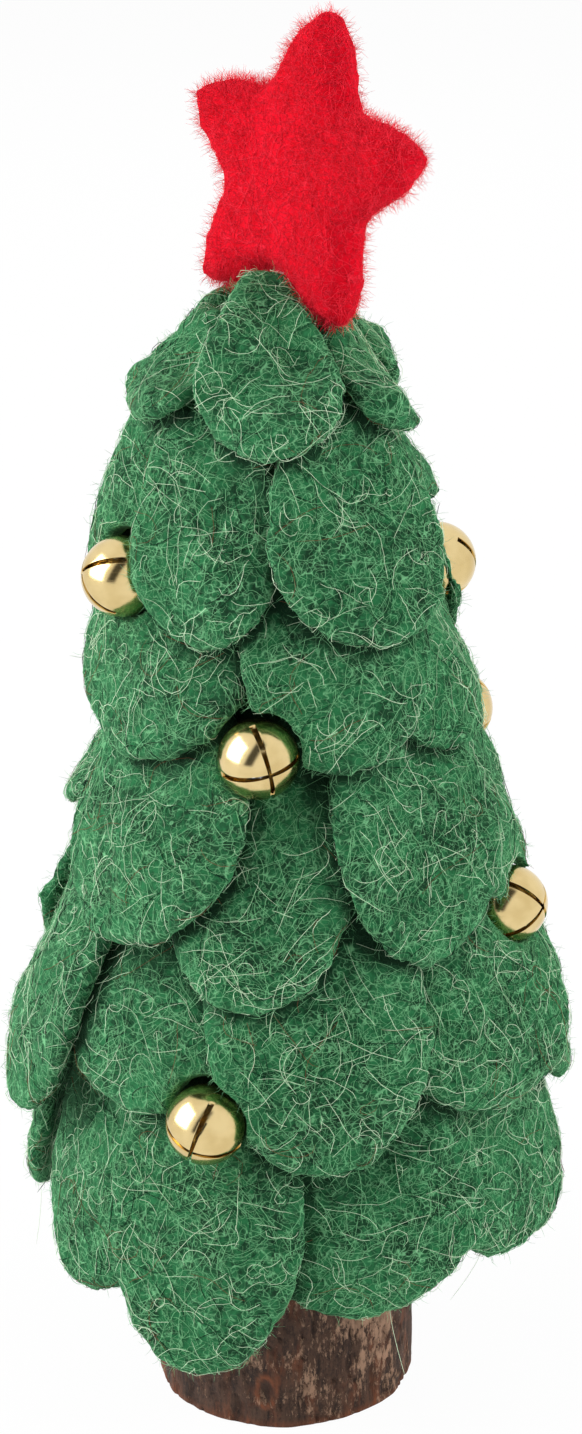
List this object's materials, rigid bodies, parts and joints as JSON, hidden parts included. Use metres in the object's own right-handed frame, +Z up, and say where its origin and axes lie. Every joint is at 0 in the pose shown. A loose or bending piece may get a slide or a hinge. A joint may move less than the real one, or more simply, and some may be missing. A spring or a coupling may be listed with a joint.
{
  "type": "felt christmas tree",
  "caption": "Small table-top felt christmas tree: overlapping green felt petals on a cone, a puffy red star on top, gold jingle bells, and a bark-covered log base.",
  "frame": {"origin": "centre of the sawn bottom of the log, on the surface that the tree stands on", "axes": "+Z up towards the star, -Y towards the viewer's side of the picture, +X to the right as seen from the front"},
  "size_m": [0.0888, 0.0903, 0.2203],
  "materials": {
    "bark": "rough bark",
    "peg_wood": "plain",
    "foam": "matte",
    "green_felt": "fuzzy",
    "red_felt": "fuzzy",
    "gold": "polished",
    "steel": "polished"
  },
  "bodies": {
    "tree": {"trunk_log": "bark", "trunk_peg": "peg_wood", "foam_core": "foam", "petal_row6_left": "green_felt", "petal_row6_back_right": "green_felt", "petal_row6_back_left": "green_felt", "petal_row6_right_back": "green_felt", "petal_row6_left_back": "green_felt", "petal_row6_right": "green_felt", "petal_row6_front_right": "green_felt", "petal_row6_front_left": "green_felt", "petal_row5_front_left": "green_felt", "petal_row5_left": "green_felt", "petal_row5_back_right": "green_felt", "petal_row5_back_left": "green_felt", "petal_row5_left_back": "green_felt", "petal_row5_right": "green_felt", "petal_row5_front_right": "green_felt", "petal_row5_front": "green_felt", "petal_row4_left_back": "green_felt", "petal_row4_back_right": "green_felt", "petal_row4_back": "green_felt", "petal_row4_front": "green_felt", "petal_row4_right": "green_felt", "petal_row4_front_left": "green_felt", "petal_row4_front_right": "green_felt", "petal_row3_right": "green_felt", "petal_row3_left_back": "green_felt", "petal_row3_back_right": "green_felt", "petal_row3_back": "green_felt", "petal_row3_front_left": "green_felt", "petal_row3_front_right": "green_felt", "petal_row2_right_back": "green_felt", "petal_row2_back_left": "green_felt", "petal_row2_back": "green_felt", "petal_row2_left": "green_felt", "petal_row2_front_left": "green_felt", "petal_row2_front_right": "green_felt", "petal_row1_back_right": "green_felt", "petal_row1_back_left": "green_felt", "petal_row1_left": "green_felt", "petal_row1_right": "green_felt", "petal_row1_front": "green_felt", "felt_star": "red_felt"},
    "bell_left_high": {"bell_left_high_shell": "gold"},
    "bell_left_high_ball": {"bell_left_high_jinglet": "steel"},
    "bell_right_high": {"bell_right_high_shell": "gold"},
    "bell_right_high_ball": {"bell_right_high_jinglet": "steel"},
    "bell_right_middle": {"bell_right_middle_shell": "gold"},
    "bell_right_middle_ball": {"bell_right_middle_jinglet": "steel"},
    "bell_front_middle": {"bell_front_middle_shell": "gold"},
    "bell_front_middle_ball": {"bell_front_middle_jinglet": "steel"},
    "bell_right_low": {"bell_right_low_shell": "gold"},
    "bell_right_low_ball": {"bell_right_low_jinglet": "steel"},
    "bell_front_low": {"bell_front_low_shell": "gold"},
    "bell_front_low_ball": {"bell_front_low_jinglet": "steel"},
    "bell_back_high": {"bell_back_high_shell": "gold"},
    "bell_back_high_ball": {"bell_back_high_jinglet": "steel"},
    "bell_back_low": {"bell_back_low_shell": "gold"},
    "bell_back_low_ball": {"bell_back_low_jinglet": "steel"}
  },
  "joints": [
    {"name": "bell_left_high_swing", "type": "hinge", "parent": "tree", "child": "bell_left_high", "pos_m": [-0.01733, -0.01251, 0.13868], "axis": [-0.225, 0.9744, 0], "range_deg": [0, 10]},
    {"name": "bell_left_high_roll", "type": "hinge", "parent": "bell_left_high", "child": "bell_left_high_ball", "pos_m": [-0.02367, -0.01397, 0.13994], "axis": [-0.225, 0.9744, 0], "continuous": true},
    {"name": "bell_right_high_swing", "type": "hinge", "parent": "tree", "child": "bell_right_high", "pos_m": [0.01724, 0.00671, 0.13813], "axis": [0.0523, -0.9986, 0], "range_deg": [0, 10]},
    {"name": "bell_right_high_roll", "type": "hinge", "parent": "bell_right_high", "child": "bell_right_high_ball", "pos_m": [0.02328, 0.00702, 0.13543], "axis": [0.0523, -0.9986, 0], "continuous": true},
    {"name": "bell_right_middle_swing", "type": "hinge", "parent": "tree", "child": "bell_right_middle", "pos_m": [0.02014, 0.00941, 0.11063], "axis": [0.2419, -0.9703, 0], "range_deg": [0, 10]},
    {"name": "bell_right_middle_roll", "type": "hinge", "parent": "bell_right_middle", "child": "bell_right_middle_ball", "pos_m": [0.02654, 0.01101, 0.11005], "axis": [0.2419, -0.9703, 0], "continuous": true},
    {"name": "bell_front_middle_swing", "type": "hinge", "parent": "tree", "child": "bell_front_middle", "pos_m": [-0.00551, -0.02466, 0.11841], "axis": [-0.9563, -0.2924, 0], "range_deg": [0, 10]},
    {"name": "bell_front_middle_roll", "type": "hinge", "parent": "bell_front_middle", "child": "bell_front_middle_ball", "pos_m": [-0.00358, -0.03098, 0.11795], "axis": [-0.9563, -0.2924, 0], "continuous": true},
    {"name": "bell_right_low_swing", "type": "hinge", "parent": "tree", "child": "bell_right_low", "pos_m": [0.02868, -0.00773, 0.08558], "axis": [-0.5299, -0.848, 0], "range_deg": [0, 10]},
    {"name": "bell_right_low_roll", "type": "hinge", "parent": "bell_right_low", "child": "bell_right_low_ball", "pos_m": [0.03425, -0.0112, 0.0865], "axis": [-0.5299, -0.848, 0], "continuous": true},
    {"name": "bell_front_low_swing", "type": "hinge", "parent": "tree", "child": "bell_front_low", "pos_m": [-0.00901, -0.03455, 0.06599], "axis": [-0.9272, 0.3746, 0], "range_deg": [0, 10]},
    {"name": "bell_front_low_roll", "type": "hinge", "parent": "bell_front_low", "child": "bell_front_low_ball", "pos_m": [-0.01137, -0.04039, 0.06394], "axis": [-0.9272, 0.3746, 0], "continuous": true},
    {"name": "bell_back_high_swing", "type": "hinge", "parent": "tree", "child": "bell_back_high", "pos_m": [0.00464, 0.02324, 0.12569], "axis": [0.9945, -0.1045, 0], "range_deg": [0, 10]},
    {"name": "bell_back_high_roll", "type": "hinge", "parent": "bell_back_high", "child": "bell_back_high_ball", "pos_m": [0.00533, 0.02979, 0.125], "axis": [0.9945, -0.1045, 0], "continuous": true},
    {"name": "bell_back_low_swing", "type": "hinge", "parent": "tree", "child": "bell_back_low", "pos_m": [-0.02178, 0.02707, 0.07116], "axis": [0.8387, 0.5446, 0], "range_deg": [0, 10]},
    {"name": "bell_back_low_roll", "type": "hinge", "parent": "bell_back_low", "child": "bell_back_low_ball", "pos_m": [-0.02533, 0.03254, 0.07001], "axis": [0.8387, 0.5446, 0], "continuous": true}
  ]
}
